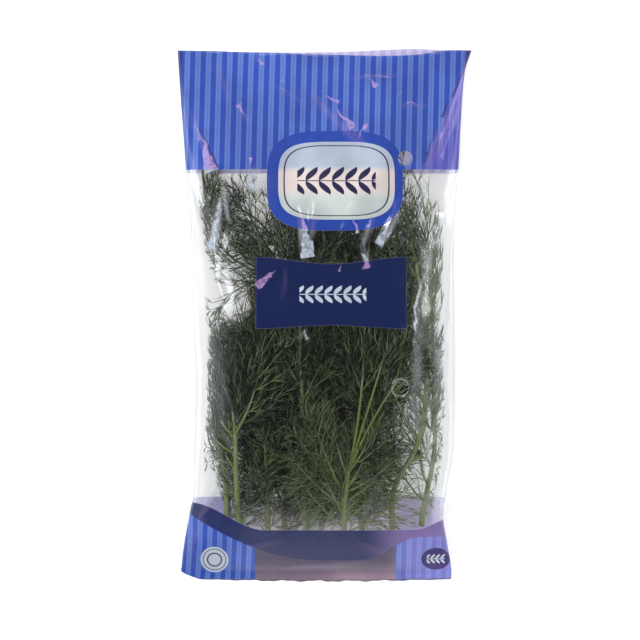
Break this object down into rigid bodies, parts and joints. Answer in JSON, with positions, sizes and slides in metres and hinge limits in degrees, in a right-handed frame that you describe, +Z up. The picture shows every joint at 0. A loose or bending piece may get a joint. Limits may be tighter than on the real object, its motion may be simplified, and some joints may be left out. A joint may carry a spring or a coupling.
{
  "type": "dill bunch",
  "caption": "Bunch of cut dill stems with feathery leaves, lying in a clear printed film bag that is open at one end.",
  "frame": {"origin": "on the ground under the middle of the bag, at the centre of the bounding box's underside", "axes": "+Y from the sealed end of the bag to its open mouth, +Z up from the back sheet to the front sheet, +X to the right seen from the front"},
  "size_m": [0.188, 0.34, 0.034],
  "materials": {
    "film": "clear glossy film with a striped blue header, a navy label and a blue band printed on it",
    "dill": "fresh dark green herb, paler stems"
  },
  "bodies": {
    "root": {"film_bag": "film", "dill_sprig_01": "dill", "dill_sprig_02": "dill", "dill_sprig_03": "dill", "dill_sprig_04": "dill", "dill_sprig_05": "dill", "dill_sprig_06": "dill", "dill_sprig_07": "dill", "dill_sprig_08": "dill", "dill_sprig_09": "dill", "dill_sprig_10": "dill"}
  },
  "joints": []
}
